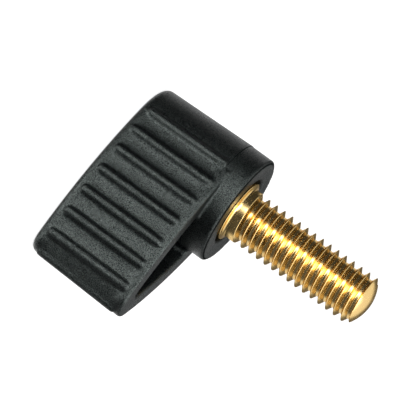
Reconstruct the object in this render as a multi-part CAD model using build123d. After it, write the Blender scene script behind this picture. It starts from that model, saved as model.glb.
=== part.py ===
from build123d import *
from math import cos, pi, radians, sin, sqrt, tan
import os

# A locking lever: a moulded plastic lever on a turned brass stud with an M6 thread.
# It stands on its flat outer face with the stud up. The origin is the centre of that face,
# Z runs along the stud, and X runs along the centre line of the lever to its tip.
# All sizes are in millimetres, and angles are in degrees.

# Lever body, outside
knob_height = 14.0
step_height = 11.1
rim_height = 11.9
hub_radius = 6.41
boss_radius = 6.36
tip_distance = 15.8
tip_radius = 2.2
flank_radius = 32.0
draft = 1.65
outer_edge_round = 0.75
rim_round = 0.35

# Boss end
boss_sink = 1.0
boss_end_round = 0.3
face_lip = 0.08
face_land = 0.55
dish_depth = 0.15

# Pocket, open towards the stud
wall = 2.1
floor = 2.0
pocket_draft = 1.0
pocket_tip_radius = 0.8
pocket_corner_round = 0.9

# Grip beads, raised along each flank and on the nose
flank_beads = 7
bead_pitch = 2.82
bead_width = 1.0
bead_height = 0.32
bead_low_border = 0.85
bead_top_border = 0.75

# Brass stud, outside
stud_radius = 2.95
stud_length = 16.95
dome_radius = 2.55
dome_height = 0.75
end_chamfer_length = 0.35
flange_radius = 3.5
flange_thickness = 0.25
flange_cone_length = 0.25

# Brass stud, moulded-in head
head_radius = 3.85
head_length = 9.1
head_sink = 0.35
head_chamfer = 0.35
collar_length = 0.7
neck_groove_radius = 3.25
grip_groove_radius = 3.1
grip_groove_width = 1.5
grip_groove_slope = 0.4
grip_groove_height = 3.6
knurl_count = 30
knurl_depth = 0.22
recess_gap = 0.1

# Length by which a cutter runs past the surface that it cuts
overrun = 1.0

shrink = tan(radians(draft))
collar_top = knob_height - head_sink
head_bottom = collar_top - head_length


def flank_centre():
    """Centre of the long arc of the +Y flank, which touches the hub and the tip round."""
    to_hub = flank_radius - hub_radius
    to_tip = flank_radius - tip_radius
    x = (to_hub**2 - to_tip**2 + tip_distance**2) / (2 * tip_distance)
    return Vector(x, -sqrt(to_hub**2 - x**2))


def flip(point):
    """The same point on the other side of the centre line."""
    return Vector(point.X, -point.Y)


def outward(centre, point):
    """Unit direction from a centre to a point."""
    return (point - centre).normalized()


def rim_outline():
    """Teardrop outline at rim height: hub, two flanks and tip round, each grown by the draft."""
    grown = (rim_height - step_height) * shrink
    centre = flank_centre()
    tip = Vector(tip_distance, 0)
    at_hub = outward(centre, Vector(0, 0)) * (hub_radius + grown)
    at_tip = tip + outward(centre, tip) * (tip_radius + grown)
    crown = centre + outward(centre, (at_hub + at_tip) / 2) * (flank_radius + grown)
    edges = [
        ThreePointArc(at_hub, crown, at_tip),
        ThreePointArc(at_tip, tip + Vector(tip_radius + grown, 0), flip(at_tip)),
        ThreePointArc(flip(at_tip), flip(crown), flip(at_hub)),
        ThreePointArc(flip(at_hub), Vector(-hub_radius - grown, 0), at_hub),
    ]
    return Pos(0, 0, rim_height) * make_face(edges)


def pocket():
    """Drafted pocket between the flank walls, with rounded corners where they meet the boss."""
    centre = flank_centre()
    inner_radius = flank_radius + (rim_height - step_height) * shrink - wall
    to_tip = inner_radius - pocket_tip_radius
    tip = Vector(centre.X + sqrt(to_tip**2 - centre.Y**2), 0)
    start = centre + Vector(0, inner_radius)
    at_tip = tip + outward(centre, tip) * pocket_tip_radius
    crown = centre + outward(centre, (start + at_tip) / 2) * inner_radius
    edges = [
        ThreePointArc(start, crown, at_tip),
        ThreePointArc(at_tip, tip + Vector(pocket_tip_radius, 0), flip(at_tip)),
        ThreePointArc(flip(at_tip), flip(crown), flip(start)),
        Line(flip(start), start),
    ]
    depth = rim_height - floor
    space = extrude(Pos(0, 0, rim_height) * make_face(edges), -depth, taper=pocket_draft)
    core = Pos(0, 0, floor) * Cone(
        boss_radius + depth * tan(radians(pocket_draft)),
        boss_radius,
        depth,
        align=(Align.CENTER, Align.CENTER, Align.MIN),
    )
    space = space - core
    upright = space.edges().filter_by_position(Axis.Z, floor, rim_height, (False, False))
    by_the_boss = upright.sort_by(Axis.X)[:2]
    return fillet(by_the_boss, pocket_corner_round)


def lever_blank():
    """Drafted teardrop with rounded edges, cut down to the parting step beside the boss."""
    blank = extrude(rim_outline(), -rim_height, taper=draft)
    blank = fillet(blank.faces().sort_by(Axis.Z)[0].edges(), outer_edge_round)
    blank = fillet(blank.faces().sort_by(Axis.Z)[-1].edges(), rim_round)
    hub_side = Pos(flank_centre().X, 0, step_height) * Box(
        2 * hub_radius,
        2 * hub_radius + overrun,
        rim_height - step_height + overrun,
        align=(Align.MAX, Align.CENTER, Align.MIN),
    )
    return blank - hub_side


def boss():
    """Boss with a rounded end, a small lip, and a face dished towards the stud."""
    end = knob_height - face_lip
    inner = boss_radius - boss_end_round
    recess = head_radius + recess_gap
    corner = boss_end_round * (1 - sin(pi / 4))
    root = step_height - boss_sink
    outline = [
        Line((0, root), (boss_radius, root)),
        Line((boss_radius, root), (boss_radius, end - boss_end_round)),
        ThreePointArc(
            (boss_radius, end - boss_end_round),
            (boss_radius - corner, end - corner),
            (inner, end),
        ),
        Line((inner, end), (inner, knob_height)),
        Line((inner, knob_height), (inner - face_land, knob_height)),
        Line((inner - face_land, knob_height), (recess, knob_height - dish_depth)),
        Line((recess, knob_height - dish_depth), (recess, collar_top)),
        Line((recess, collar_top), (0, collar_top)),
        Line((0, collar_top), (0, root)),
    ]
    profile = Plane.XZ * make_face(outline)
    return revolve(profile, Axis.Z)


def bead(direction, reach, centre):
    """Round-ended bead along the drafted wall, sunk into it all but its height."""
    radius = (bead_width**2 / 4 + bead_height**2) / (2 * bead_height)
    low = bead_low_border + bead_width / 2
    high = rim_height - bead_top_border - bead_width / 2
    sink = radius - bead_height
    foot = centre + direction * (reach - (step_height - low) * shrink - sink) + Vector(0, 0, low)
    head = centre + direction * (reach - (step_height - high) * shrink - sink) + Vector(0, 0, high)
    length = (head - foot).length
    bend = radius / sqrt(2)
    half = [
        ThreePointArc((0, -radius), (bend, -bend), (radius, 0)),
        Line((radius, 0), (radius, length)),
        ThreePointArc((radius, length), (bend, length + bend), (0, length + radius)),
        Line((0, length + radius), (0, -radius)),
    ]
    rod = revolve(Plane.XZ * make_face(half), Axis.Z)
    return Plane(foot, x_dir=-direction, z_dir=head - foot) * rod


def beads():
    """Beads at one pitch along both flanks, counted from the bead on the nose."""
    centre = flank_centre()
    tip = Vector(tip_distance, 0)
    to_tip = outward(centre, tip)
    tip_turn = Vector(1, 0).get_angle(to_tip)
    made = [bead(Vector(1, 0), tip_radius, tip)]
    for k in range(1, flank_beads + 1):
        along = k * bead_pitch - radians(tip_turn) * tip_radius
        turn = radians(tip_turn) + along / flank_radius
        direction = Vector(cos(turn), sin(turn))
        made.append(bead(direction, flank_radius, centre))
        made.append(bead(flip(direction), flank_radius, flip(centre)))
    return made


def stud():
    """Turned brass stud: knurled head, flange, neck, plain shank at thread size, domed end."""
    flange_top = knob_height
    flange_bottom = flange_top - flange_thickness
    shank_start = flange_top + flange_cone_length
    end = knob_height + stud_length
    rim = end - dome_height
    groove_low = head_bottom + grip_groove_height
    groove_high = groove_low + grip_groove_width
    points = [
        (0, head_bottom),
        (head_radius - head_chamfer, head_bottom),
        (head_radius, head_bottom + head_chamfer),
        (head_radius, groove_low),
        (grip_groove_radius, groove_low + grip_groove_slope),
        (grip_groove_radius, groove_high - grip_groove_slope),
        (head_radius, groove_high),
        (head_radius, collar_top),
        (neck_groove_radius, collar_top),
        (neck_groove_radius, flange_bottom),
        (flange_radius, flange_bottom),
        (flange_radius, flange_top),
        (stud_radius, shank_start),
        (stud_radius, rim - end_chamfer_length),
        (dome_radius, rim),
    ]
    ball = (dome_radius**2 + dome_height**2) / (2 * dome_height)
    half = sqrt(ball**2 - (dome_radius / 2) ** 2) - (ball - dome_height)
    edges = [Line(a, b) for a, b in zip(points, points[1:])]
    edges.append(ThreePointArc((dome_radius, rim), (dome_radius / 2, rim + half), (0, end)))
    edges.append(Line((0, end), (0, head_bottom)))
    turned = revolve(Plane.XZ * make_face(edges), Axis.Z)
    knurl_length = head_length - collar_length + overrun
    tooth = Rectangle(knurl_depth * sqrt(2), knurl_depth * sqrt(2), rotation=45)
    groove = extrude(Pos(0, 0, head_bottom - overrun) * tooth, knurl_length)
    return turned - [place * groove for place in PolarLocations(head_radius, knurl_count)]


def lever_body(insert):
    """The moulded lever: blank, boss and beads, less the pocket and what the insert fills."""
    solid = lever_blank() + boss() + beads()
    return solid - pocket() - insert


insert = stud()
os.makedirs("parts", exist_ok=True)
export_step(insert, "parts/threaded_stud.step")
export_step(lever_body(insert), "parts/lever_body.step")
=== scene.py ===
# %% [markdown]
# # A locking lever
#
# A small black lever that clamps something by hand: a moulded teardrop with grip beads, turned
# on a brass stud with an M6 thread. The CAD model gives every size and place. This script gives
# it the soft edges of a moulding, a real helical thread, and the two finishes.
#
# The lever stands on its flat outer face. Z runs up along the stud, X along the lever to its
# tip, and the origin is the centre of the face that it stands on.

import math

import bmesh
import bpy
import numpy as np
from mathutils import Matrix, Vector


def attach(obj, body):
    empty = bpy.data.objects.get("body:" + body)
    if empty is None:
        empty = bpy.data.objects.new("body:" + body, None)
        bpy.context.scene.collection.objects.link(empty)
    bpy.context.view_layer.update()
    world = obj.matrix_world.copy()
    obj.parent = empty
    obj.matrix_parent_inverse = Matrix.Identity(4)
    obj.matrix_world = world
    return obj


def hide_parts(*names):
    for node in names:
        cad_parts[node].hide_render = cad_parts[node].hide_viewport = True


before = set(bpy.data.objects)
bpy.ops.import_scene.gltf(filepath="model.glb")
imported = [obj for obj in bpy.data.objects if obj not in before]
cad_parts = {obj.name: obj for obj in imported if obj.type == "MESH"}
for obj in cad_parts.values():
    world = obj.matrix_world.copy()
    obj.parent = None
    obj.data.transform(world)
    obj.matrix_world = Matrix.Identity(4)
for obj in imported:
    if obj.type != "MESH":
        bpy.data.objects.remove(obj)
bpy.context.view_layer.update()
print("CAD pieces:", sorted(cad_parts))

# %% [markdown]
# ## Sizes
#
# These repeat the sizes of the CAD source, in millimetres, so that what is made here fits the
# CAD pieces. The lever's wall, its beads and its pocket are all set out from two arc centres,
# one for each flank.

# %% Sizes of the lever, in millimetres
MM = 0.001

KNOB_HEIGHT = 14.0
STEP_HEIGHT = 11.1
RIM_HEIGHT = 11.9
HUB_RADIUS = 6.41
BOSS_RADIUS = 6.36
TIP_DISTANCE = 15.8
TIP_RADIUS = 2.2
FLANK_RADIUS = 32.0
OUTER_EDGE_ROUND = 0.75
RIM_ROUND = 0.35

BOSS_SINK = 1.0
BOSS_END_ROUND = 0.3
FACE_LIP = 0.08
FACE_LAND = 0.55
DISH_DEPTH = 0.15

WALL = 2.1
FLOOR = 2.0
POCKET_TIP_RADIUS = 0.8
POCKET_CORNER_ROUND = 0.9

BEADS_A_SIDE = 7
BEAD_PITCH = 2.82
BEAD_WIDTH = 1.0
BEAD_HEIGHT = 0.32
BEAD_LOW_BORDER = 0.85
BEAD_TOP_BORDER = 0.75

# A drafted wall leans in by this much for each millimetre further down
SHRINK = math.tan(math.radians(1.65))
POCKET_SHRINK = math.tan(math.radians(1.0))

# Two small changes from the CAD source, to follow the photo more closely: the flanks' beads
# move this far towards the hub, and all beads reach this much higher
BEAD_SHIFT = 0.26
BEAD_STRETCH = 0.15

# Centre of the +Y flank's long arc, which touches the hub and the tip round
TO_HUB = FLANK_RADIUS - HUB_RADIUS
TO_TIP = FLANK_RADIUS - TIP_RADIUS
CENTRE_X = (TO_HUB**2 - TO_TIP**2 + TIP_DISTANCE**2) / (2 * TIP_DISTANCE)
CENTRE_Y = -math.sqrt(TO_HUB**2 - CENTRE_X**2)
TIP_TURN = math.atan2(-CENTRE_Y, TIP_DISTANCE - CENTRE_X)
print("flank centre at", round(CENTRE_X, 3), round(CENTRE_Y, 3))

# %% Sizes of the stud, in millimetres
HEAD_RADIUS = 3.85
HEAD_BOTTOM = 4.55
HEAD_CHAMFER = 0.35
COLLAR_TOP = 13.65
RECESS_RADIUS = 3.95
GRIP_GROOVE_RADIUS = 3.1
GRIP_GROOVE_LOW = 8.15
GRIP_GROOVE_HIGH = 9.65
GRIP_GROOVE_SLOPE = 0.4
NECK_GROOVE_RADIUS = 3.25
FLANGE_RADIUS = 3.5
FLANGE_BOTTOM = 13.75

STUD_RADIUS = 2.95
STUD_END = 30.95
DOME_RADIUS = 2.55
DOME_HEIGHT = 0.75
END_CHAMFER = 0.35
print("the stud stands", round(STUD_END - KNOB_HEIGHT, 2), "mm out of the boss")

# %% [markdown]
# ## The lever as a moulded shape
#
# On the real lever the mould leaves a small round wherever two faces meet. A Bevel modifier
# could round the CAD mesh, but the narrow faces at the foot of each bead would hold its width
# back. So the lever's surface is described here as one distance. The distance is negative
# inside the plastic, positive outside, and zero on the skin. Two shapes join with a soft inside
# corner, and a shape is trimmed with a soft outside corner.

# %% Soft joins and trims of distances


def ramp(low, high, value):
    """0 below low, 1 above high, and a smooth rise between."""
    t = np.clip((value - low) / (high - low), 0, 1)
    return t * t * (3 - 2 * t)


def join(a, b, radius):
    """Both shapes together, with an inside corner of this radius."""
    corner = np.hypot(np.maximum(radius - a, 0), np.maximum(radius - b, 0))
    return np.maximum(radius, np.minimum(a, b)) - corner


def trim(a, b, radius):
    """What both shapes share, with an outside corner of this radius."""
    corner = np.hypot(np.maximum(radius + a, 0), np.maximum(radius + b, 0))
    return np.minimum(-radius, np.maximum(a, b)) + corner


print("where two skins cross, a 1 mm corner adds", round(float(-join(0.0, 0.0, 1.0)), 3), "mm")

# %% The teardrop outline, as a distance and as a length along it


def teardrop(x, y, flank, hub, tip_x, tip_radius):
    """Distance from a teardrop outline whose flanks swing round the two arc centres."""
    dx, dy = x - CENTRE_X, np.abs(y) - CENTRE_Y
    outline = np.hypot(dx, dy) - flank
    past_hub = -CENTRE_X * dy + CENTRE_Y * dx > 0
    past_tip = (tip_x - CENTRE_X) * dy + CENTRE_Y * dx < 0
    outline = np.where(past_hub, np.hypot(x, y) - hub, outline)
    return np.where(past_tip, np.hypot(x - tip_x, y) - tip_radius, outline)


def length_from_nose(x, y):
    """Length along the outline from the middle of the nose, the same on both sides."""
    dx, dy = x - CENTRE_X, np.abs(y) - CENTRE_Y
    turn = np.arctan2(dy, dx)
    on_flank = TIP_TURN * TIP_RADIUS + (turn - TIP_TURN) * FLANK_RADIUS
    on_tip = np.arctan2(np.abs(y), x - TIP_DISTANCE) * TIP_RADIUS
    return np.where(turn < TIP_TURN, on_tip, on_flank)


def bead_spines():
    """Foot and head of the line inside each bead, both sides and the nose, as one array."""
    radius = (BEAD_WIDTH**2 / 4 + BEAD_HEIGHT**2) / (2 * BEAD_HEIGHT)
    sink = radius - BEAD_HEIGHT
    low = BEAD_LOW_BORDER + BEAD_WIDTH / 2
    high = RIM_HEIGHT - BEAD_TOP_BORDER + BEAD_STRETCH - BEAD_WIDTH / 2
    ends = []
    for k in range(BEADS_A_SIDE + 1):
        along = k * BEAD_PITCH + BEAD_SHIFT - TIP_TURN * TIP_RADIUS
        turn = TIP_TURN + along / FLANK_RADIUS if k else 0.0
        centre = (CENTRE_X, CENTRE_Y) if k else (TIP_DISTANCE, 0.0)
        reach = FLANK_RADIUS if k else TIP_RADIUS
        spine = []
        for z in (low, high):
            out = reach - (STEP_HEIGHT - z) * SHRINK - sink
            spine.append((centre[0] + math.cos(turn) * out, centre[1] + math.sin(turn) * out, z))
        ends.append(spine)
        if k:
            ends.append([(x, -y, z) for x, y, z in spine])
    return np.array(ends), radius


BEAD_LINES, BEAD_ROD = bead_spines()
print(len(BEAD_LINES), "grip beads of rod radius", round(BEAD_ROD, 3))

# %% [markdown]
# The bands between the beads are slightly hollow, which is what makes each one shade from light
# to dark. A displacement could hollow them later, but here the hollow is one more term of the
# distance, so the beads' fillets follow it. The photo shows the beads a little nearer to the
# hub, and a little longer at the rim, than the CAD source has them, so the two small changes
# are added to its sizes.

# %% Beads and hollow bands
BEAD_FILLET = 0.16
FLUTE_DEPTH = 0.19
FLUTE_HALF_SHARE = 0.37
FLUTE_FOOT_FADE = (0.7, 1.9)
FLUTE_RIM_FADE = (RIM_HEIGHT - 1.7, RIM_HEIGHT - 0.6)


def beads(p):
    """Distance from the nearest bead."""
    nearest = np.full(len(p), np.inf)
    for foot, head in BEAD_LINES:
        line = head - foot
        t = np.clip((p - foot) @ line / (line @ line), 0, 1)
        nearest = np.minimum(nearest, np.linalg.norm(p - foot - t[:, None] * line, axis=1))
    return nearest - BEAD_ROD


def band_hollow(x, y, z):
    """Depth of the hollow between two beads, which fades out at the foot and at the rim."""
    place = (length_from_nose(x, y) - BEAD_SHIFT) / BEAD_PITCH
    across = (place % 1.0 - 0.5) / FLUTE_HALF_SHARE
    hollow = np.maximum(1 - across**2, 0) * (place < BEADS_A_SIDE)
    return FLUTE_DEPTH * hollow * ramp(*FLUTE_FOOT_FADE, z) * (1 - ramp(*FLUTE_RIM_FADE, z))


print("a band is hollow over", round(2 * FLUTE_HALF_SHARE * BEAD_PITCH, 2), "mm of its width")

# %% [markdown]
# The pocket is the hollow side of the lever, between the flanks and the boss. The boss has a
# rounded end, a fine lip and a face that dishes a little towards the stud.

# %% Pocket and boss
FLOOR_ROUND = 0.5

# The pocket's outline would close round the hub with this radius, deep inside the boss
HIDDEN_HUB = 0.1


def pocket_space(x, y, z):
    """Distance from the pocket's space, and from its outline between the flanks."""
    lean = (RIM_HEIGHT - z) * POCKET_SHRINK
    inner = FLANK_RADIUS + (RIM_HEIGHT - STEP_HEIGHT) * SHRINK - WALL
    inner_tip = CENTRE_X + math.sqrt((inner - POCKET_TIP_RADIUS) ** 2 - CENTRE_Y**2)
    outline = teardrop(x, y, inner - lean, HIDDEN_HUB, inner_tip, POCKET_TIP_RADIUS - lean)
    space = trim(outline, BOSS_RADIUS + lean - np.hypot(x, y), POCKET_CORNER_ROUND)
    return trim(space, FLOOR - z, FLOOR_ROUND), outline


def boss_shape(rho, z):
    """Distance from the boss, by distance from the stud's axis and height."""
    dish_radius = BOSS_RADIUS - BOSS_END_ROUND - FACE_LAND
    dish = np.maximum(dish_radius - rho, 0) * DISH_DEPTH / (dish_radius - RECESS_RADIUS)
    rounded = trim(rho - BOSS_RADIUS, z - KNOB_HEIGHT + FACE_LIP, BOSS_END_ROUND)
    lipped = np.maximum(rho - BOSS_RADIUS + BOSS_END_ROUND, z - KNOB_HEIGHT + dish)
    return np.maximum(np.minimum(rounded, lipped), STEP_HEIGHT - BOSS_SINK - z)


print("the lip stands", FACE_LIP, "mm above the boss's rounded end")

# %% The whole lever as one distance
POCKET_EDGE_ROUND = 0.28
POCKET_EDGE_SHARP = 0.01
POCKET_EDGE_FADE = (0.1, 0.8)
BOSS_FILLET = 0.32
BOSS_FILLET_LEAST = 0.001

# The boss's fillet grows with the distance into the wall, from its outside and from the pocket
OUTSIDE_FADE = (0.1, 0.7)
POCKET_FADE = (0.0, 0.5)


def lever_distance(p):
    """Distance from the skin of the lever, for an array of points in millimetres."""
    x, y, z = p[:, 0], p[:, 1], p[:, 2]
    rho = np.hypot(x, y)
    wall = teardrop(x, y, FLANK_RADIUS, HUB_RADIUS, TIP_DISTANCE, TIP_RADIUS)
    wall = wall + (STEP_HEIGHT - z) * SHRINK + band_hollow(x, y, z)
    body = join(wall, beads(p), BEAD_FILLET)
    body = trim(body, -z, OUTER_EDGE_ROUND)
    body = trim(body, z - RIM_HEIGHT, RIM_ROUND)

    space, inside = pocket_space(x, y, z)
    edge_round = POCKET_EDGE_ROUND * ramp(*POCKET_EDGE_FADE, rho - BOSS_RADIUS)
    body = trim(body, -space, POCKET_EDGE_SHARP + edge_round)

    above_step = np.minimum(z - STEP_HEIGHT, CENTRE_X - x)
    body = np.maximum(body, above_step)

    in_wall = ramp(*OUTSIDE_FADE, -wall) * ramp(*POCKET_FADE, inside)
    body = join(body, boss_shape(rho, z), BOSS_FILLET_LEAST + BOSS_FILLET * in_wall)

    bore = np.where(z > COLLAR_TOP, RECESS_RADIUS, HEAD_RADIUS) - rho
    return np.maximum(body, np.minimum(bore, z - HEAD_BOTTOM))


print("distance at the hub's centre:", float(lever_distance(np.array([[0.0, 0.0, 2.0]]))[0]))

# %% [markdown]
# A skin could be traced from the distance alone, but the CAD body already has every wall and
# hole in its place. So it gives the first skin. It is remeshed into even small squares, and
# each corner is then slid along the slope of the distance until it lies on the moulded surface.

# %% Lever moulding: an even skin from the CAD body, slid onto the moulded surface
VOXEL = 0.16
WELD_GAP = 0.001
SLIDES = 5

# The slope is measured this far to each side, and a slide is held to a longest step
PROBE = 0.01
LEAST_STEEPNESS = 0.25
LONGEST_SLIDE = 0.15


def even_skin(node, voxel):
    """A CAD node's mesh remeshed into small squares, in millimetres."""
    mesh = node.data.copy()
    mesh.transform(Matrix.Scale(1 / MM, 4))
    source = bpy.data.objects.new("skin_source", mesh)
    bpy.context.scene.collection.objects.link(source)
    weld = source.modifiers.new("weld", "WELD")
    weld.merge_threshold = WELD_GAP
    remesh = source.modifiers.new("remesh", "REMESH")
    remesh.mode = "VOXEL"
    remesh.voxel_size = voxel
    remesh.adaptivity = 0.0
    graph = bpy.context.evaluated_depsgraph_get()
    skin = bpy.data.meshes.new_from_object(source.evaluated_get(graph))
    bpy.data.objects.remove(source)
    return skin


def corners(mesh):
    """Places of a mesh's corners, as an array with a row for each."""
    p = np.zeros(len(mesh.vertices) * 3)
    mesh.vertices.foreach_get("co", p)
    return p.reshape(-1, 3)


def slide_onto(mesh, distance, slides):
    """Moves each corner to where the distance is zero, and returns the largest distance left."""
    p = corners(mesh)
    for _ in range(slides):
        slope = np.zeros_like(p)
        for axis in range(3):
            shift = np.zeros(3)
            shift[axis] = PROBE
            slope[:, axis] = (distance(p + shift) - distance(p - shift)) / (2 * PROBE)
        steep = np.maximum((slope**2).sum(axis=1), LEAST_STEEPNESS)
        move = -(distance(p) / steep)[:, None] * slope
        length = np.linalg.norm(move, axis=1, keepdims=True)
        p = p + move * np.minimum(1, LONGEST_SLIDE / np.maximum(length, 1e-9))
    mesh.vertices.foreach_set("co", p.ravel())
    return float(np.abs(distance(p)).max())


lever_mesh = even_skin(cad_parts["lever_body"], VOXEL)
worst = slide_onto(lever_mesh, lever_distance, SLIDES)
lever_mesh.transform(Matrix.Scale(MM, 4))
lever_mesh.name = "lever_moulding"
lever_mesh.shade_smooth()
lever = bpy.data.objects.new("lever_moulding", lever_mesh)
bpy.context.scene.collection.objects.link(lever)
print("lever skin:", len(lever_mesh.polygons), "faces, farthest off by", round(worst, 4), "mm")

# %% [markdown]
# The pocket lies in shade, so it looks darker and duller than the outside, and that shade is
# painted here. A second material could be put on its faces, but its border would show. So each
# corner keeps a value of how deep it lies in the pocket, and the plastic's finish reads that value
# and takes gloss away with it, as painted shade.

# %% A value for how deep a corner lies in the pocket, for its painted shade
SHADE_INWARD = (1.2, 2.4)
SHADE_FLOOR = (1.0, 1.6)
SHADE_DEPTH = (0.0, 3.0)


# The value drives painted shade: the deeper a corner lies in the pocket, the darker its finish
def painted_pocket_shade(mesh):
    """Gives each corner a value from 0 outside to 1 deep in the pocket."""
    x, y, z = corners(mesh).T / MM
    inward = -teardrop(x, y, FLANK_RADIUS, HUB_RADIUS, TIP_DISTANCE, TIP_RADIUS)
    shade = ramp(*SHADE_INWARD, inward) * ramp(*SHADE_FLOOR, z)
    shade = shade * ramp(*SHADE_DEPTH, RIM_HEIGHT - z)
    mesh.attributes.new("painted_pocket_shade", "FLOAT", "POINT").data.foreach_set("value", shade)
    return shade


shade = painted_pocket_shade(lever_mesh)
print("corners deep in the pocket:", int((shade > 0.5).sum()), "of", len(shade))

# %% [markdown]
# ## The brass stud
#
# The head, flange, neck and domed end are turned on a lathe. The Spin tool or a Screw modifier
# could turn their side view round Z. A short function does the same here, and its rings have
# as many corners as the thread's, so that the two can be welded. The groove round the flange
# looks dark in the photo, so the collar in it lies deeper here than in the CAD source.

# %% Turned parts of the stud
SEGMENTS = 96
EDGE_BREAK = 0.05
FLANGE_EDGE_BREAK = 0.03
NECK_TOP = 14.6
GAP_DEPTH = 0.5
DOME_STEPS = 8
DOME_SEAM_RADIUS = 2.3
BALL = (DOME_RADIUS**2 + DOME_HEIGHT**2) / (2 * DOME_HEIGHT)
DOME_SEAM = STUD_END - BALL + math.sqrt(BALL**2 - DOME_SEAM_RADIUS**2)


def spin(points, segments):
    """Rings round Z from a side view of (radius, height) points, as vertices and faces."""
    verts, faces, rings = [], [], []
    for radius, height in points:
        if radius == 0:
            rings.append([len(verts)] * segments)
            verts.append((0, 0, height))
            continue
        rings.append(list(range(len(verts), len(verts) + segments)))
        for k in range(segments):
            turn = 2 * math.pi * k / segments
            verts.append((radius * math.cos(turn), radius * math.sin(turn), height))
    for low, high in zip(rings, rings[1:]):
        for k in range(segments):
            nxt = (k + 1) % segments
            face = [low[k], low[nxt], high[nxt], high[k]]
            faces.append(list(dict.fromkeys(face)))
    return verts, faces


collar_end = COLLAR_TOP - GAP_DEPTH
head_side = [
    (0, HEAD_BOTTOM),
    (HEAD_RADIUS - HEAD_CHAMFER, HEAD_BOTTOM),
    (HEAD_RADIUS, HEAD_BOTTOM + HEAD_CHAMFER),
    (HEAD_RADIUS, GRIP_GROOVE_LOW),
    (GRIP_GROOVE_RADIUS, GRIP_GROOVE_LOW + GRIP_GROOVE_SLOPE),
    (GRIP_GROOVE_RADIUS, GRIP_GROOVE_HIGH - GRIP_GROOVE_SLOPE),
    (HEAD_RADIUS, GRIP_GROOVE_HIGH),
    (HEAD_RADIUS, collar_end - EDGE_BREAK),
    (HEAD_RADIUS - EDGE_BREAK, collar_end),
    (NECK_GROOVE_RADIUS, collar_end),
]
flange_side = [
    (NECK_GROOVE_RADIUS, FLANGE_BOTTOM),
    (FLANGE_RADIUS - FLANGE_EDGE_BREAK, FLANGE_BOTTOM),
    (FLANGE_RADIUS, FLANGE_BOTTOM + FLANGE_EDGE_BREAK),
    (FLANGE_RADIUS, 13.95),
    (3.47, 13.985),
    (3.42, KNOB_HEIGHT),
]
# From the flange's face the side sweeps up into the neck. The last but one point keeps the
# shading of the sweep off the rest of the neck.
sweep_side = [
    (3.3, 14.01),
    (3.15, 14.04),
    (3.03, 14.11),
    (2.97, 14.2),
    (STUD_RADIUS, 14.3),
    (STUD_RADIUS, 14.45),
    (STUD_RADIUS, NECK_TOP),
]
dome_side = []
for step in range(DOME_STEPS + 1):
    radius = DOME_SEAM_RADIUS * (1 - step / DOME_STEPS)
    dome_side.append((radius, STUD_END - BALL + math.sqrt(BALL**2 - radius**2)))

turned_mesh = bpy.data.meshes.new("stud_turned")
verts, faces = spin(head_side + flange_side + sweep_side, SEGMENTS)
more_verts, more_faces = spin(dome_side, SEGMENTS)
faces += [[i + len(verts) for i in face] for face in more_faces]
verts += more_verts
turned_mesh.from_pydata([[c * MM for c in v] for v in verts], [], faces)
turned_mesh.update()
print("turned parts:", len(turned_mesh.polygons), "faces")

# %% [markdown]
# A node tree built in a script is long to read. Two small helpers keep it short: one adds a
# node, sets its constant inputs and links the rest, and one carries a value from one range to
# another.

# %% Helpers for node trees


class Tree:
    """Adds nodes to a tree with short calls."""

    def __init__(self, tree):
        self.tree = tree

    def node(self, kind, inputs=(), **settings):
        """A node with settings. Each input is (name or index, value or output socket)."""
        made = self.tree.nodes.new(kind)
        for name, value in settings.items():
            setattr(made, name, value)
        for name, value in inputs:
            socket = made.inputs[name]
            if isinstance(value, bpy.types.NodeSocket):
                self.tree.links.new(value, socket)
            else:
                socket.default_value = value
        return made

    def math(self, operation, *values):
        """A Math node's output."""
        return self.node("ShaderNodeMath", enumerate(values), operation=operation).outputs[0]


def mapped(tree, value, low, high, out_low, out_high, kind="SMOOTHSTEP"):
    """A value carried from one range to another."""
    pairs = [(0, value), (1, low), (2, high), (3, out_low), (4, out_high)]
    return tree.node("ShaderNodeMapRange", pairs, interpolation_type=kind).outputs[0]


# %% [markdown]
# The thread is a helix, and a helix follows a rule, so Geometry Nodes makes it. A Screw
# modifier could too, but its turns would stop dead at the neck and at the dome. Here a sheet of
# rows is sheared by one pitch across its width and rolled round Z. Each point takes its radius
# from its place on the helix, from a run-in at the neck, and from the chamfer and the dome.

# %% Geometry Nodes: inputs of the thread
PITCH = 1.0
ROWS_A_PITCH = 32

# A metric thread's flanks stand at 60 degrees to its axis
FLANK_SLOPE = math.tan(math.radians(60))

# Each size becomes an input of the tree, here in millimetres
THREAD_SIZES = (
    ("Crest radius", 2.935),
    ("Thread depth", 0.585),
    ("Pitch", PITCH),
    ("Crest flat", 0.02),
    ("Crest round", 0.05),
    ("Root round", 0.06),
    ("Crest height at azimuth zero", 16.3255),
    ("Neck radius", STUD_RADIUS),
    ("Shank start", NECK_TOP),
    ("Run-in start", 14.95),
    ("Run-in end", 15.5),
    ("Shank end", DOME_SEAM),
    ("Chamfer start", STUD_END - DOME_HEIGHT - END_CHAMFER),
    ("Chamfer length", END_CHAMFER),
    ("Dome radius", DOME_RADIUS),
    ("Ball radius", BALL),
    ("Ball centre height", STUD_END - BALL),
    ("Weld distance", 0.002),
)


def thread_inputs(tree):
    """Gives a tree its sockets. Returns its sizes by identifier, and the brass's identifier."""
    face = tree.interface
    face.new_socket("Turned parts", in_out="INPUT", socket_type="NodeSocketGeometry")
    sizes = {}
    for name, size in THREAD_SIZES:
        socket = face.new_socket(name, in_out="INPUT", socket_type="NodeSocketFloat")
        sizes[socket.identifier] = size * MM
    metal = face.new_socket("Brass", in_out="INPUT", socket_type="NodeSocketMaterial")
    face.new_socket("Stud", in_out="OUTPUT", socket_type="NodeSocketGeometry")
    return sizes, metal.identifier


print("thread sizes:", len(THREAD_SIZES), "and rows", round(PITCH / ROWS_A_PITCH, 4), "mm apart")

# %% Geometry Nodes: radius of the shank


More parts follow.
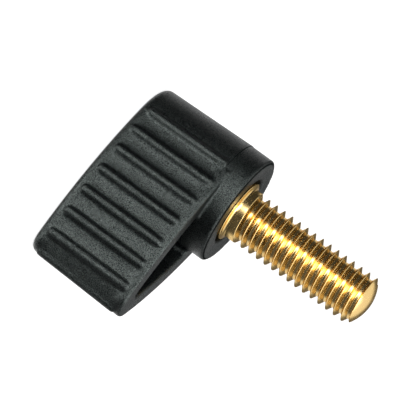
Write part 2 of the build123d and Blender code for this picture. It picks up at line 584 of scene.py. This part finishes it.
def thread_radius(t, given, height, turn):
    """Radius of the thread at a height, after a part of a turn round Z."""
    m = t.math
    above = m("SUBTRACT", height, given["Crest height at azimuth zero"])
    phase = m("SUBTRACT", m("DIVIDE", above, given["Pitch"]), turn)
    from_crest = m("MULTIPLY", m("PINGPONG", phase, 0.5), given["Pitch"])
    flank = m("SUBTRACT", from_crest, m("MULTIPLY", given["Crest flat"], 0.5))
    flank = m("MULTIPLY", flank, FLANK_SLOPE)
    flank = m("SMOOTH_MIN", flank, given["Thread depth"], given["Root round"])
    flank = m("SMOOTH_MAX", flank, 0.0, given["Crest round"])
    to_groove = m("SUBTRACT", m("ADD", m("FLOOR", phase), 0.5), phase)
    groove = m("ADD", height, m("MULTIPLY", to_groove, given["Pitch"]))
    run_in = (given["Run-in start"], given["Run-in end"])
    begun = mapped(t, groove, *run_in, 0.0, 1.0)
    crest = mapped(t, height, *run_in, given["Neck radius"], given["Crest radius"])
    return m("SUBTRACT", crest, m("MULTIPLY", flank, begun))


def end_radius(t, given, height):
    """Radius that the chamfer and the dome leave at a height."""
    m = t.math
    cap = m("MAXIMUM", m("SUBTRACT", height, given["Ball centre height"]), 0.0)
    cap = m("SUBTRACT", m("POWER", given["Ball radius"], 2.0), m("POWER", cap, 2.0))
    cap = m("SQRT", m("MAXIMUM", cap, 0.0))
    chamfer = (given["Chamfer start"], m("ADD", given["Chamfer start"], given["Chamfer length"]))
    cone = mapped(t, height, *chamfer, given["Neck radius"], given["Dome radius"], kind="LINEAR")
    return m("MINIMUM", cap, cone)


# %% Geometry Nodes: the threaded shank


def thread_tree():
    """Node tree that joins a helical thread to turned parts, and gives all of it one material."""
    tree = bpy.data.node_groups.new("stud_thread", "GeometryNodeTree")
    sizes, metal = thread_inputs(tree)
    t = Tree(tree)
    given = t.node("NodeGroupInput").outputs
    m = t.math
    span = m("ADD", m("SUBTRACT", given["Shank end"], given["Shank start"]), given["Pitch"])
    row = m("DIVIDE", given["Pitch"], float(ROWS_A_PITCH))
    rows = m("CEIL", m("DIVIDE", span, row))
    length = m("MULTIPLY", rows, row)
    sheet = t.node(
        "GeometryNodeMeshGrid",
        [("Size X", length), ("Size Y", 1.0)]
        + [("Vertices X", m("ADD", rows, 1.0)), ("Vertices Y", SEGMENTS + 1)],
    ).outputs["Mesh"]
    at = t.node("ShaderNodeSeparateXYZ", [(0, t.node("GeometryNodeInputPosition").outputs[0])])
    turn = m("ADD", at.outputs["Y"], 0.5)
    along = m("ADD", at.outputs["X"], m("MULTIPLY", length, 0.5))
    along = m("ADD", along, m("MULTIPLY", turn, given["Pitch"]))
    height = m("ADD", m("SUBTRACT", given["Shank start"], given["Pitch"]), along)
    height = m("MAXIMUM", m("MINIMUM", height, given["Shank end"]), given["Shank start"])
    radius = m("MINIMUM", thread_radius(t, given, height, turn), end_radius(t, given, height))
    angle = m("MULTIPLY", turn, 2 * math.pi)
    rolled = t.node(
        "ShaderNodeCombineXYZ",
        [(0, m("MULTIPLY", radius, m("COSINE", angle)))]
        + [(1, m("MULTIPLY", radius, m("SINE", angle))), (2, height)],
    ).outputs[0]
    shank = t.node("GeometryNodeSetPosition", [("Geometry", sheet), ("Position", rolled)])
    joined = t.node("GeometryNodeJoinGeometry")
    tree.links.new(shank.outputs[0], joined.inputs[0])
    tree.links.new(given["Turned parts"], joined.inputs[0])
    welded = t.node(
        "GeometryNodeMergeByDistance",
        [("Geometry", joined.outputs[0]), ("Distance", given["Weld distance"])],
    ).outputs[0]
    real = t.node("GeometryNodeRealizeInstances", [("Geometry", welded)]).outputs[0]
    painted = t.node("GeometryNodeSetMaterial", [("Geometry", real), ("Material", given["Brass"])])
    out = t.node("NodeGroupOutput")
    tree.links.new(painted.outputs[0], out.inputs[0])
    return tree, sizes, metal


thread, thread_sizes, brass_socket = thread_tree()
print("thread tree:", len(thread.nodes), "nodes")

# %% [markdown]
# ## Finishes
#
# Both finishes could be painted as images, but numbers alone stay sharp at any distance, so
# they are built from noise and from places on the object. Two effects are node groups: the fine
# grain that spark erosion leaves on a mould, and a thin ring round Z.

# %% Shared effects, as node groups


def effect(name, inputs, outputs):
    """An empty node group for a shader effect, with its tree helper, inputs and output node."""
    group = bpy.data.node_groups.new(name, "ShaderNodeTree")
    for label, kind, value in inputs:
        socket = group.interface.new_socket(label, in_out="INPUT", socket_type=kind)
        if value is not None:
            socket.default_value = value
    for label, kind in outputs:
        group.interface.new_socket(label, in_out="OUTPUT", socket_type=kind)
    t = Tree(group)
    return group, t, t.node("NodeGroupInput").outputs, t.node("NodeGroupOutput")


def grain_group():
    """Fine pimpled grain: a height, and a slow patchiness."""
    group, t, given, out = effect(
        "fine_grain",
        [("Place in mm", "NodeSocketVector", None), ("Grains in a mm", "NodeSocketFloat", 12.0)],
        [("Height", "NodeSocketFloat"), ("Patches", "NodeSocketFloat")],
    )
    place = given["Place in mm"]
    fine = t.node(
        "ShaderNodeTexNoise",
        [("Vector", place), ("Scale", given["Grains in a mm"])]
        + [("Detail", 2.0), ("Roughness", 0.6)],
    )
    slow = t.node("ShaderNodeTexNoise", [("Vector", place), ("Scale", 0.45), ("Detail", 3.0)])
    t.tree.links.new(fine.outputs[0], out.inputs["Height"])
    t.tree.links.new(slow.outputs[0], out.inputs["Patches"])
    return group


def ring_line_group():
    """A mask that is 1 on a thin ring round Z, of a given radius and height."""
    group, t, given, out = effect(
        "ring_line",
        [("Place in mm", "NodeSocketVector", None), ("Radius", "NodeSocketFloat", 6.0)]
        + [("Ring height", "NodeSocketFloat", 13.0), ("Half width", "NodeSocketFloat", 0.06)],
        [("Mask", "NodeSocketFloat")],
    )
    at = t.node("ShaderNodeSeparateXYZ", [(0, given["Place in mm"])])
    flat = t.node("ShaderNodeCombineXYZ", [(0, at.outputs[0]), (1, at.outputs[1])]).outputs[0]
    rho = t.node("ShaderNodeVectorMath", [(0, flat)], operation="LENGTH").outputs["Value"]
    off = t.node(
        "ShaderNodeCombineXYZ",
        [(0, t.math("SUBTRACT", rho, given["Radius"]))]
        + [(1, t.math("SUBTRACT", at.outputs[2], given["Ring height"]))],
    ).outputs[0]
    away = t.node("ShaderNodeVectorMath", [(0, off)], operation="LENGTH").outputs["Value"]
    line = mapped(t, away, 0.0, given["Half width"], 1.0, 0.0)
    t.tree.links.new(line, out.inputs["Mask"])
    return group


GRAIN = grain_group()
RING_LINE = ring_line_group()
print("node groups:", GRAIN.name, "and", RING_LINE.name)

# %% Where a finish starts


def place_in_mm(t):
    """Object coordinates in millimetres."""
    place = t.node("ShaderNodeTexCoord").outputs["Object"]
    return t.node("ShaderNodeVectorMath", [(0, place), (3, 1 / MM)], operation="SCALE").outputs[0]


def new_material(name):
    """A material with only a Principled shader, its tree helper and that shader."""
    material = bpy.data.materials.new(name)
    material.use_nodes = True
    material.node_tree.nodes.clear()
    t = Tree(material.node_tree)
    shader = t.node("ShaderNodeBsdfPrincipled")
    t.node("ShaderNodeOutputMaterial", [("Surface", shader.outputs[0])])
    return material, t, shader


# %% [markdown]
# The plastic is nearly black. The grain is fine enough to sparkle, so one noise gives both its
# bumps and its changes of gloss. Two fine rings round the boss are painted shade, one in the fine
# step at its end and one along the parting line at its foot, and so is the shade in the pocket:
# there the plastic is made rougher and its gloss is taken away, so that they come out dark.

# %% Plastic
PLASTIC_COLOUR = (0.0028, 0.0036, 0.0038, 1)
PLASTIC_TINT = (0.88, 1.0, 0.95, 1)
PLASTIC_ROUGHNESS = (0.27, 0.33)
GLOSS = (0.1, 0.95)
GRAIN_DEPTH = 0.05 * MM
# Painted shade in the pocket: how much rougher the plastic gets there, and how much gloss goes
POCKET_ROUGHNESS = 0.6
POCKET_SHADE_GLOSS_LOSS = 0.95

# The part of each noise's range over which the finish changes
PATCH_RANGE = (0.3, 0.7)
GRAIN_RANGE = (0.4, 0.6)

# Radius, height and half width of each ring of painted shade, in millimetres
PAINTED_SHADE_RINGS = ((6.1, 13.93, 0.2), (6.4, STEP_HEIGHT, 0.1))

plastic, t, shader = new_material("black_grained_plastic")
place = place_in_mm(t)
grain = t.node("ShaderNodeGroup", [("Place in mm", place)], node_tree=GRAIN)
# Each ring mask is painted shade, the shadow in a fine step that the skin is too coarse to hold
painted_ring_shade = 0.0
for radius, ring_height, half_width in PAINTED_SHADE_RINGS:
    ring = [("Radius", radius), ("Ring height", ring_height), ("Half width", half_width)]
    line = t.node("ShaderNodeGroup", [("Place in mm", place)] + ring, node_tree=RING_LINE)
    painted_ring_shade = t.math("MAXIMUM", line.outputs["Mask"], painted_ring_shade)
# How deep in the pocket a corner lies, which the finish turns into painted shade
deep = t.node("ShaderNodeAttribute", attribute_name="painted_pocket_shade").outputs["Fac"]

shader.inputs["Base Color"].default_value = PLASTIC_COLOUR
shader.inputs["Specular Tint"].default_value = PLASTIC_TINT
shader.inputs["IOR"].default_value = 1.5
rough = mapped(t, grain.outputs["Patches"], *PATCH_RANGE, *PLASTIC_ROUGHNESS)
shade_roughness = t.math("MAXIMUM", painted_ring_shade, t.math("MULTIPLY", deep, POCKET_ROUGHNESS))
t.tree.links.new(t.math("MAXIMUM", rough, shade_roughness), shader.inputs["Roughness"])
sparkle = mapped(t, grain.outputs["Height"], *GRAIN_RANGE, *GLOSS)
shade_gloss_loss = t.math("MAXIMUM", painted_ring_shade, t.math("MULTIPLY", deep, POCKET_SHADE_GLOSS_LOSS))
gloss = t.math("MULTIPLY", sparkle, t.math("SUBTRACT", 1.0, shade_gloss_loss))
t.tree.links.new(gloss, shader.inputs["Specular IOR Level"])
bump = t.node(
    "ShaderNodeBump",
    [("Height", grain.outputs["Height"]), ("Strength", 1.0), ("Distance", GRAIN_DEPTH)],
).outputs[0]
t.tree.links.new(bump, shader.inputs["Normal"])
lever_mesh.materials.clear()
lever_mesh.materials.append(plastic)
print("plastic:", len(plastic.node_tree.nodes), "nodes")

# %% [markdown]
# The brass is plain metal, and a lathe leaves faint rings on it. Real grooves would need far
# more faces, so a noise that changes fast along the stud and slowly across it varies how rough
# the metal is.

# %% Brass
BRASS_COLOUR = (0.82, 0.58, 0.245, 1)
BRASS_TINT = (0.95, 0.85, 0.68, 1)
BRASS_ROUGHNESS = (0.18, 0.26)
LATHE_RANGE = (0.3, 0.7)

# How many times the noise changes in a millimetre
CHANGES_ACROSS = 0.4
CHANGES_ALONG = 14.0

brass, t, shader = new_material("turned_brass")
at = t.node("ShaderNodeSeparateXYZ", [(0, place_in_mm(t))])
stretched = []
for axis, changes in enumerate((CHANGES_ACROSS, CHANGES_ACROSS, CHANGES_ALONG)):
    stretched.append((axis, t.math("MULTIPLY", at.outputs[axis], changes)))
rings = t.node("ShaderNodeCombineXYZ", stretched).outputs[0]
lathe = t.node("ShaderNodeTexNoise", [("Vector", rings), ("Scale", 1.0), ("Detail", 2.0)])
rough = mapped(t, lathe.outputs[0], *LATHE_RANGE, *BRASS_ROUGHNESS)
t.tree.links.new(rough, shader.inputs["Roughness"])
shader.inputs["Base Color"].default_value = BRASS_COLOUR
shader.inputs["Specular Tint"].default_value = BRASS_TINT
shader.inputs["Metallic"].default_value = 1.0
print("brass:", len(brass.node_tree.nodes), "nodes")

# %% [markdown]
# The thread tree now runs as a modifier on the turned parts. A live modifier would do for a
# render, but the stud has to be a plain mesh for the export, so the result is copied out. Its
# faces are turned outwards, and edges sharper than a set angle stay sharp in the shading.

# %% Make the stud and turn it into a plain mesh
SHARP_ANGLE = math.radians(38)
NO_LENGTH = 1e-6

maker = bpy.data.objects.new("stud_maker", turned_mesh)
bpy.context.scene.collection.objects.link(maker)
modifier = maker.modifiers.new("thread", "NODES")
modifier.node_group = thread
for identifier, size in thread_sizes.items():
    modifier[identifier] = size
modifier[brass_socket] = brass
graph = bpy.context.evaluated_depsgraph_get()
stud_mesh = bpy.data.meshes.new_from_object(maker.evaluated_get(graph))
bpy.data.objects.remove(maker)
bm = bmesh.new()
bm.from_mesh(stud_mesh)
bmesh.ops.dissolve_degenerate(bm, dist=NO_LENGTH, edges=bm.edges)
bmesh.ops.recalc_face_normals(bm, faces=bm.faces)
bm.to_mesh(stud_mesh)
bm.free()
stud_mesh.name = "brass_stud"
stud_mesh.shade_smooth()
stud_mesh.set_sharp_from_angle(angle=SHARP_ANGLE)
stud = bpy.data.objects.new("brass_stud", stud_mesh)
bpy.context.scene.collection.objects.link(stud)
print("stud:", len(stud_mesh.polygons), "faces")

# %% [markdown]
# The two finished meshes now stand in for the two CAD nodes. Both ride on the same body, because
# nothing in this object moves.

# %% Both pieces take the places of their CAD nodes
for piece, node, finish in (
    (lever, "lever_body", "plastic"),
    (stud, "threaded_stud", "brass"),
):
    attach(piece, "root")
    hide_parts(node)
    print(piece.name, "stands for", node)

# %% [markdown]
# ## Stage
#
# The lever stands on a wide pale floor, lit by one soft box at the camera's side and one above.
# More lamps could make the floor white, but they would wash out the lever. So the camera sees
# the floor with a glow added, and lamps and shadows still work on it. Shiny faces don't mirror
# the floor itself. They mirror the world, which has its own bench and backdrop.

# %% Floor
FLOOR_REACH = 3.0
FLOOR_PALE = 0.8
FLOOR_GLOW = 0.8

floor_mesh = bpy.data.meshes.new("floor")
square = ((-1, -1), (1, -1), (1, 1), (-1, 1))
floor_corners = [(x * FLOOR_REACH, y * FLOOR_REACH, 0) for x, y in square]
floor_mesh.from_pydata(floor_corners, [], [(0, 1, 2, 3)])
floor = bpy.data.objects.new("floor", floor_mesh)
bpy.context.scene.collection.objects.link(floor)
pale = bpy.data.materials.new("pale_floor")
pale.use_nodes = True
pale.node_tree.nodes.clear()
t = Tree(pale.node_tree)
seen = t.node("ShaderNodeLightPath")
bright = t.math("MAXIMUM", seen.outputs["Is Camera Ray"], seen.outputs["Is Glossy Ray"])
bright = t.math("MAXIMUM", bright, seen.outputs["Is Transmission Ray"])
diffuse = t.node("ShaderNodeBsdfDiffuse", [("Color", (FLOOR_PALE, FLOOR_PALE, FLOOR_PALE, 1))])
glow = t.node("ShaderNodeEmission", [("Strength", t.math("MULTIPLY", bright, FLOOR_GLOW))])
both = t.node("ShaderNodeAddShader", [(0, diffuse.outputs[0]), (1, glow.outputs[0])])
t.node("ShaderNodeOutputMaterial", [("Surface", both.outputs[0])])
floor_mesh.materials.append(pale)
floor.visible_glossy = False
print("floor:", 2 * FLOOR_REACH, "m wide")

# %% [markdown]
# What a shiny face mirrors matters as much as what lights it, and the world holds all of it. A
# picture of a studio could be wrapped round the scene, but soft patches of light are easier to
# move to where each face mirrors them. A tall white screen with a hot strip stands beside the
# camera, a white backdrop is low behind the lever, the bench in front is bright, a light panel
# hangs overhead, and the rest is dim. Straight below is the dark foot that the lever shades for
# itself, which is a painted shadow. The screen, its strip and its glare on the bench give the
# brass its bright streak, and the hollow bands mirror the bench.

# %% What the world holds: places, fades and levels
# An azimuth is in degrees from +X. Angles to the side are in degrees from the key's azimuth, or
# from the middle of the screen, the backdrop or the glare. A height is that of a direction, from
# -1 straight down to 1 straight up. A fade is a pair of angles or heights. A level of 1 is white.
KEY_AZIMUTH = -76.0
BACK_AZIMUTH = 107.0

# The screen stands a little to one side of the key. Far up and far down it leans and widens.
SCREEN_OFFSET = 6.0
SCREEN_LEAN_START = 0.25
SCREEN_LEAN = 35.0
SCREEN_WIDENING = 20.0
SCREEN_FADE = (3.0, 20.0)
SCREEN_LEVEL = 1.8
STRIP_FADE = (0.0, 9.0)
STRIP_LEVEL = 3.5

BACKDROP_SIDE_FADE = (45.0, 72.0)
BACKDROP_TOP_FADE = (-0.05, 0.12)
BACKDROP_LEVEL = 0.85
BACKDROP_TOP_SHARE = 0.1

BENCH_HEIGHT_FADE = (-0.6, -0.25)
BENCH_NEAR_FADE = (-15.0, 15.0)
BENCH_FAR_FADE = (25.0, 52.0)
BENCH_LEVEL = 2.6
BENCH_FAR_SHARE = 0.08

GLARE_SIDE = 12.0
GLARE_SIDE_FADE = (4.0, 30.0)
GLARE_HEIGHT_FADE = (-0.8, -0.6)
GLARE_LEVEL = 5.0

PANEL_FADE = (0.45, 0.65)
PANEL_LEVEL = 0.95

# A dim light that grows towards the ground, dimmer from behind the lever round past the key
GROUND_START = -0.2
GROUND_GROWTH = 0.4
GROUND_LEVEL = 0.07
GROUND_SIDE_FADE = (25.0, 60.0)
GROUND_KEY_SHARE = 0.25

# A painted shadow straight below: the dark foot where the lever shades the ground
FOOT_SHADOW_FADE = (-0.97, -0.83)
FOOT_SHADOW_SHARE = 0.04
DIM_LEVEL = 0.04
FILL_LEVEL = 0.3
print("the screen's middle is at azimuth", KEY_AZIMUTH - SCREEN_OFFSET)

# %% World: screen and backdrop


def turned_from(t, way, azimuth):
    """Angle in degrees from an azimuth to a direction, seen from above."""
    spun = t.node(
        "ShaderNodeVectorRotate",
        [("Vector", way), ("Angle", -math.radians(azimuth))],
        rotation_type="Z_AXIS",
    ).outputs[0]
    at = t.node("ShaderNodeSeparateXYZ", [(0, spun)])
    return t.math("MULTIPLY", t.math("ARCTAN2", at.outputs[1], at.outputs[0]), 180 / math.pi)


world = bpy.data.worlds.new("studio")
bpy.context.scene.world = world
world.use_nodes = True
world.node_tree.nodes.clear()
t = Tree(world.node_tree)
way = t.node("ShaderNodeTexCoord").outputs["Generated"]
height = t.node("ShaderNodeSeparateXYZ", [(0, way)]).outputs[2]
beside = turned_from(t, way, KEY_AZIMUTH)

lift = t.math("SUBTRACT", t.math("ABSOLUTE", height), SCREEN_LEAN_START)
lift = t.math("MAXIMUM", lift, 0.0)
off_screen = t.math("SUBTRACT", beside, t.math("MULTIPLY", lift, SCREEN_LEAN))
off_screen = t.math("ABSOLUTE", t.math("ADD", off_screen, SCREEN_OFFSET))
off_screen = t.math("SUBTRACT", off_screen, t.math("MULTIPLY", lift, SCREEN_WIDENING))
screen = mapped(t, off_screen, *SCREEN_FADE, SCREEN_LEVEL, 0.0)
hot_strip = mapped(t, off_screen, *STRIP_FADE, STRIP_LEVEL, 0.0)

off_back = t.math("ABSOLUTE", turned_from(t, way, BACK_AZIMUTH))
backdrop = mapped(t, off_back, *BACKDROP_SIDE_FADE, BACKDROP_LEVEL, 0.0)
low_down = mapped(t, height, *BACKDROP_TOP_FADE, 1.0, BACKDROP_TOP_SHARE)
backdrop = t.math("MULTIPLY", backdrop, low_down)
print("screen and backdrop:", len(world.node_tree.nodes), "nodes")

# %% World: bench, panel and what is dim
bench = mapped(t, height, *BENCH_HEIGHT_FADE, BENCH_LEVEL, 0.0)
bench = t.math("MULTIPLY", bench, mapped(t, beside, *BENCH_NEAR_FADE, 0.0, 1.0))
bench = t.math("MULTIPLY", bench, mapped(t, beside, *BENCH_FAR_FADE, 1.0, BENCH_FAR_SHARE))

off_glare = t.math("ABSOLUTE", t.math("SUBTRACT", beside, GLARE_SIDE))
glare = mapped(t, height, *GLARE_HEIGHT_FADE, GLARE_LEVEL, 0.0)
glare = t.math("MULTIPLY", glare, mapped(t, off_glare, *GLARE_SIDE_FADE, 1.0, 0.0))

panel = mapped(t, height, *PANEL_FADE, 0.0, PANEL_LEVEL)

ground = t.math("MAXIMUM", t.math("SUBTRACT", GROUND_START, height), 0.0)
ground = t.math("ADD", t.math("MULTIPLY", ground, GROUND_GROWTH), GROUND_LEVEL)
past_key = mapped(t, beside, *GROUND_SIDE_FADE, GROUND_KEY_SHARE, 1.0)
ground = t.math("MULTIPLY", ground, past_key)
print("with bench, panel and ground:", len(world.node_tree.nodes), "nodes")

# %% World: all of it, for each kind of ray
mirrored = DIM_LEVEL
for share in (screen, hot_strip, backdrop, bench, glare, panel, ground):
    mirrored = t.math("ADD", share, mirrored)
# The dark foot darkens all that is mirrored straight below, as a painted shadow
mirrored = t.math("MULTIPLY", mirrored, mapped(t, height, *FOOT_SHADOW_FADE, FOOT_SHADOW_SHARE, 1.0))

seen = t.node("ShaderNodeLightPath")
shiny = t.math("MAXIMUM", seen.outputs["Is Glossy Ray"], seen.outputs["Is Transmission Ray"])
fill = t.math("MULTIPLY", seen.outputs["Is Diffuse Ray"], FILL_LEVEL)
level = t.math("ADD", t.math("MULTIPLY", shiny, mirrored), seen.outputs["Is Camera Ray"])
level = t.math("ADD", level, fill)
sky = t.node("ShaderNodeBackground", [("Color", (1, 1, 1, 1)), ("Strength", level)])
t.node("ShaderNodeOutputWorld", [("Surface", sky.outputs[0])])
print("world:", len(world.node_tree.nodes), "nodes")

# %% [markdown]
# Two lamps light the lever. A spot or a sun would give harder shadows, and a studio has soft
# boxes, so both are area lights: the key at the camera's side, and a weaker one above.

# %% Soft boxes
AIM = Vector((4.0 * MM, 0.0, 12.0 * MM))


def soft_box(name, azimuth, elevation, distance, width, height, power):
    """An area light that faces the lever from a direction given in degrees."""
    a, e = math.radians(azimuth), math.radians(elevation)
    way = Vector((math.cos(a) * math.cos(e), math.sin(a) * math.cos(e), math.sin(e)))
    data = bpy.data.lights.new(name, "AREA")
    data.shape = "RECTANGLE"
    data.size = width
    data.size_y = height
    data.energy = power
    lamp = bpy.data.objects.new(name, data)
    lamp.location = AIM + way * distance
    lamp.rotation_mode = "QUATERNION"
    lamp.rotation_quaternion = (-way).to_track_quat("-Z", "Y")
    bpy.context.scene.collection.objects.link(lamp)
    return lamp


key = soft_box("key", KEY_AZIMUTH, elevation=24, distance=0.3, width=0.16, height=0.3, power=0.45)
top = soft_box("top", azimuth=10, elevation=75, distance=0.4, width=0.3, height=0.3, power=0.35)
print("lamps:", key.name, "and", top.name)

# %% [markdown]
# ## Camera
#
# A camera could be turned by eye until its picture fits. This one's place, turn and lens come
# from a fit to the thread crests and to the boss, which is closer than the eye can get. Its
# three directions are those of a picture: to the right, down, and into it.

# %% Camera
LENS_MM = 251.53
SENSOR_MM = 36.0
CAMERA_PLACE = Vector((148.431, -258.762, 69.657)) * MM
RIGHT = Vector((-0.58971443, -0.15487023, 0.79262356))
DOWN = Vector((0.64676333, 0.4972085, 0.57834323))
AHEAD = Vector((-0.48366732, 0.8536972, -0.19304664))

camera_data = bpy.data.cameras.new("camera")
camera_data.sensor_width = SENSOR_MM
camera_data.lens = LENS_MM
camera_data.clip_start = 0.01
camera_data.clip_end = 20.0
camera = bpy.data.objects.new("camera", camera_data)
turn = Matrix((RIGHT, -DOWN, -AHEAD)).transposed().to_4x4()
camera.matrix_world = Matrix.Translation(CAMERA_PLACE) @ turn
bpy.context.scene.collection.objects.link(camera)
bpy.context.scene.camera = camera
bpy.context.scene.view_settings.view_transform = "Standard"
print("the camera stands", round(CAMERA_PLACE.length / MM), "mm from the origin")
